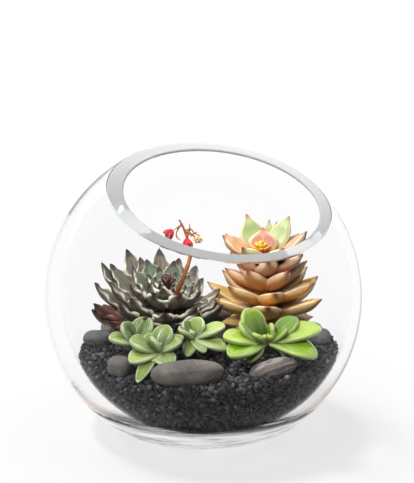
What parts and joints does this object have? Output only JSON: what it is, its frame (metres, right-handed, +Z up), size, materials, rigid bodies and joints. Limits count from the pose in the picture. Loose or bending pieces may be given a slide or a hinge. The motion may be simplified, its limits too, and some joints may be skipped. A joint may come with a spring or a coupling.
{
  "type": "glass plant terrarium",
  "caption": "Clear glass bubble bowl with a slanted open mouth, planted with small succulents in dark gravel among river pebbles; it stands on a flat foot.",
  "frame": {"origin": "centre of the bowl's flat foot, on the surface that it stands on", "axes": "+Z up; -Y is the front, where the mouth dips; +X is to the right of a viewer at the front"},
  "size_m": [0.18, 0.18, 0.1581],
  "materials": {
    "clear_glass": "blown, fire-polished at the rim",
    "charcoal_gravel": "rough broken grains",
    "grey_pebble": "water-worn, matte",
    "brown_pebble": "water-worn, satin",
    "black_pebble": "water-worn, matte",
    "echeveria_leaf": "waxy bloom, cream edges, dark red tips",
    "echeveria_heart": "satin",
    "withered_leaf": "dry and matte",
    "flower_stalk": "satin",
    "red_petal": "satin",
    "tan_tuft": "fuzzy",
    "ghost_plant_leaf": "waxy, pale green over salmon pink to ochre",
    "ghost_plant_heart": "satin",
    "pale_sedum_leaf": "plump, waxy bloom",
    "bright_sedum_leaf": "plump, glossy"
  },
  "bodies": {
    "root": {"glass_bowl": "clear_glass", "gravel_bed": "charcoal_gravel", "pebble_front_large": "brown_pebble", "pebble_front_streaked": "brown_pebble", "pebble_front_left": "brown_pebble", "pebble_left": "grey_pebble", "pebble_left_back": "brown_pebble", "pebble_left_front": "grey_pebble", "pebble_left_inner": "black_pebble", "pebble_back_left": "brown_pebble", "pebble_middle": "black_pebble", "pebble_middle_front": "black_pebble", "pebble_back": "brown_pebble", "pebble_right_inner": "black_pebble", "pebble_right_black": "black_pebble", "pebble_right_back": "grey_pebble", "pebble_right": "grey_pebble", "pebble_right_front": "black_pebble", "echeveria": "echeveria_leaf", "echeveria_bud": "echeveria_heart", "echeveria_withered_leaves": "withered_leaf", "echeveria_flower_stalk": "flower_stalk", "flower_left": "red_petal", "flower_front": "red_petal", "stalk_end": "tan_tuft", "ghost_plant": "ghost_plant_leaf", "ghost_plant_bud": "ghost_plant_heart", "pale_sedum_front": "pale_sedum_leaf", "pale_sedum_left": "pale_sedum_leaf", "pale_sedum_middle": "pale_sedum_leaf", "pale_sedum_back": "pale_sedum_leaf", "bright_sedum_left": "bright_sedum_leaf", "bright_sedum_right": "bright_sedum_leaf"}
  },
  "joints": []
}
